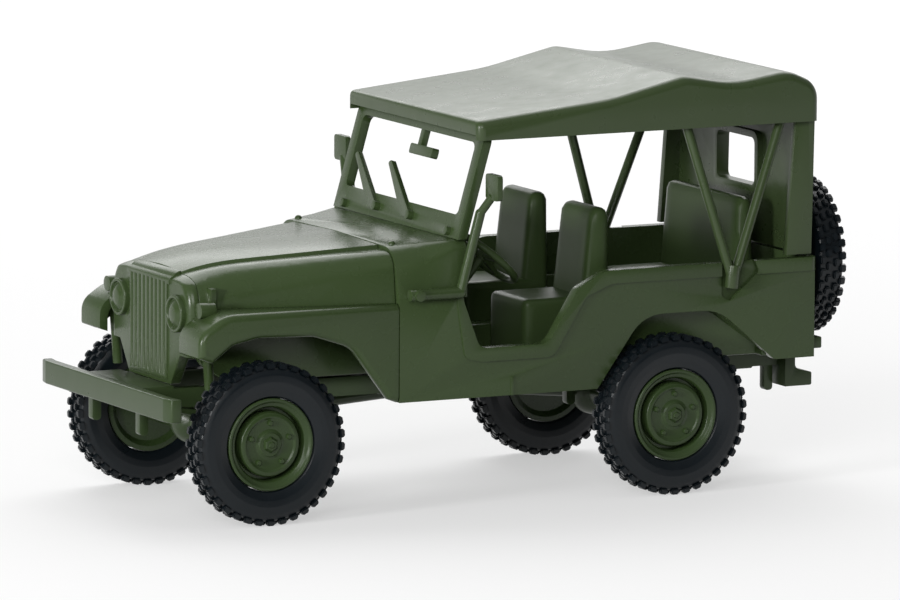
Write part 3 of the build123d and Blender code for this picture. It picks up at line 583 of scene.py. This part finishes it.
def add_pads(cad_node, table):
    """One piece of several cushions in place of a CAD node."""
    bm = bmesh.new()
    for values in table:
        pad(bm, *values)
    mesh = bpy.data.meshes.new(cad_node)
    bm.to_mesh(mesh)
    bm.free()
    shade(mesh, pad_smooth_angle)
    return add_piece(mesh, cad_node)


def add_seats():
    """Two front seats and the bench, each a back and a cushion."""
    for name in ("driver_seat", "passenger_seat"):
        low, high = cad_corners(name)
        front = low.x + seat_back_t
        foot = (low.x, low.y + seat_back_inset, low.z + seat_back_foot)
        add_pads(name, [
            # lowest corner, highest corner, rounding, taper, wedge
            (foot, (front, high.y - seat_back_inset, high.z), 0.48, 0.07, seat_wedge),
            ((front - seat_lap, low.y, low.z), (high.x, high.y, low.z + seat_cushion_h), 0.34, 0.0, 0.0),
        ])
    low, high = cad_corners("rear_seat")
    add_pads("rear_seat", [
        ((low.x, low.y, low.z), (low.x + bench_back_t, high.y, high.z), 0.42, 0.1, 0.4),
        ((low.x + bench_lap, low.y, low.z), (high.x, high.y, low.z + seat_cushion_h), 0.36, 0.0, 0.0),
    ])


def soften_others():
    """Every CAD node that isn't a seat or part of a wheel, with softened edges."""
    extras = {"front_panel": finish_nose, "bonnet": roll_down}
    for name in frame["nodes"]:
        if not name.endswith(("_seat", "_tyre", "_rim")):
            softened(name, extras.get(name))


add_wheels()
add_seats()
soften_others()


# Stage, light and camera

def seen_ray(tree):
    """1 for rays from the camera, gloss and glass, 0 for rays that light the model."""
    path = node(tree, "ShaderNodeLightPath")
    seen = path.outputs["Is Camera Ray"]
    for kind in ("Is Glossy Ray", "Is Transmission Ray"):
        most = node(tree, "ShaderNodeMath", operation="MAXIMUM")
        tree.links.new(seen, most.inputs[0])
        tree.links.new(path.outputs[kind], most.inputs[1])
        seen = most.outputs[0]
    return seen


def add_floor():
    """White floor that glows only where it is seen, and keeps the model's shadow."""
    half = floor_half * MM
    mesh = bpy.data.meshes.new("floor")
    mesh.from_pydata([(-half, -half, 0), (half, -half, 0), (half, half, 0), (-half, half, 0)], [],
                     [(0, 1, 2, 3)])
    floor = bpy.data.objects.new("floor", mesh)
    bpy.context.scene.collection.objects.link(floor)
    material = bpy.data.materials.new("floor_white")
    material.use_nodes = True
    tree = material.node_tree
    shader = tree.nodes["Principled BSDF"]
    shader.inputs["Roughness"].default_value = floor_roughness
    shader.inputs["Specular IOR Level"].default_value = 0.0
    glow = node(tree, "ShaderNodeEmission", Color=(1, 1, 1, 1), Strength=1.0)
    share = node(tree, "ShaderNodeMath", operation="MULTIPLY")
    share.inputs[1].default_value = floor_glow
    seen = seen_ray(tree)
    tree.links.new(seen, share.inputs[0])
    pale = node(tree, "ShaderNodeMapRange")
    pale.inputs["To Min"].default_value = floor_bounce
    pale.inputs["To Max"].default_value = floor_white
    tree.links.new(seen, pale.inputs["Value"])
    tree.links.new(pale.outputs["Result"], shader.inputs["Base Color"])
    mix = node(tree, "ShaderNodeMixShader")
    tree.links.new(share.outputs[0], mix.inputs["Fac"])
    tree.links.new(shader.outputs["BSDF"], mix.inputs[1])
    tree.links.new(glow.outputs["Emission"], mix.inputs[2])
    tree.links.new(mix.outputs["Shader"], tree.nodes["Material Output"].inputs["Surface"])
    mesh.materials.append(material)


def camera_axes():
    """Right, up and back directions of the camera."""
    turn, rise, roll = radians(view_turn), radians(view_rise), radians(view_roll)
    back = Vector((sin(turn) * cos(rise), cos(turn) * cos(rise), sin(rise)))
    right = Vector((0, 0, 1)).cross(back).normalized()
    up = back.cross(right)
    return right * cos(roll) + up * sin(roll), up * cos(roll) - right * sin(roll), back


def step_between(tree, value, low, high, first, last):
    """Smooth change from first to last as value goes from low to high."""
    made = node(tree, "ShaderNodeMapRange", interpolation_type="SMOOTHSTEP")
    for key, number in (("From Min", low), ("From Max", high), ("To Min", first), ("To Max", last)):
        made.inputs[key].default_value = number
    tree.links.new(value, made.inputs["Value"])
    return made.outputs["Result"]


def add_world():
    """White backdrop low behind the model, a dimmer ceiling and a dark room in front."""
    world = bpy.data.worlds.new("studio")
    bpy.context.scene.world = world
    world.use_nodes = True
    tree = world.node_tree
    background = tree.nodes["Background"]
    background.inputs["Color"].default_value = (1, 1, 1, 1)
    way = node(tree, "ShaderNodeTexCoord").outputs["Generated"]
    back = camera_axes()[2]
    behind = node(tree, "ShaderNodeVectorMath", operation="DOT_PRODUCT")
    behind.inputs[1].default_value = (-back.x, -back.y, 0)
    tree.links.new(way, behind.inputs[0])
    axes = node(tree, "ShaderNodeSeparateXYZ")
    tree.links.new(way, axes.inputs[0])
    sheet = step_between(tree, axes.outputs["Z"], *backdrop_rise, backdrop_level, ceiling_level)
    room = step_between(tree, axes.outputs["Z"], *room_rise, room_level, ceiling_level)
    mix = node(tree, "ShaderNodeMix")
    turned = step_between(tree, behind.outputs["Value"], *backdrop_turn, 0, 1)
    tree.links.new(turned, mix.inputs["Factor"])
    tree.links.new(room, mix.inputs["A"])
    tree.links.new(sheet, mix.inputs["B"])
    tree.links.new(mix.outputs["Result"], background.inputs["Strength"])


def add_lamp(name, spot, size, watts):
    """Square lamp at a spot that points at the model."""
    lamp = bpy.data.lights.new(name, "AREA")
    lamp.shape = "SQUARE"
    lamp.size = size * MM
    lamp.energy = watts
    holder = bpy.data.objects.new(name, lamp)
    holder.location = place(*spot)
    way = place(*studio_aim) - holder.location
    holder.rotation_euler = way.to_track_quat("-Z", "Y").to_euler()
    bpy.context.scene.collection.objects.link(holder)


def add_camera():
    """Camera at the photograph's angle."""
    right, up, back = camera_axes()
    aim = Vector(view_aim) + right * aim_right + up * aim_up
    camera = bpy.data.cameras.new("camera")
    camera.lens = lens_mm
    camera.sensor_width = sensor_mm
    camera.clip_start = clip_start * MM
    holder = bpy.data.objects.new("camera", camera)
    turn = Matrix((right, up, back)).transposed().to_4x4()
    holder.matrix_world = Matrix.Translation(place(*(aim + back * view_distance))) @ turn
    bpy.context.scene.collection.objects.link(holder)
    bpy.context.scene.camera = holder


add_floor()
add_world()
for name, spot, size, watts in studio_lamps:
    add_lamp(name, spot, size, watts)
add_camera()
bpy.context.scene.view_settings.view_transform = "Standard"
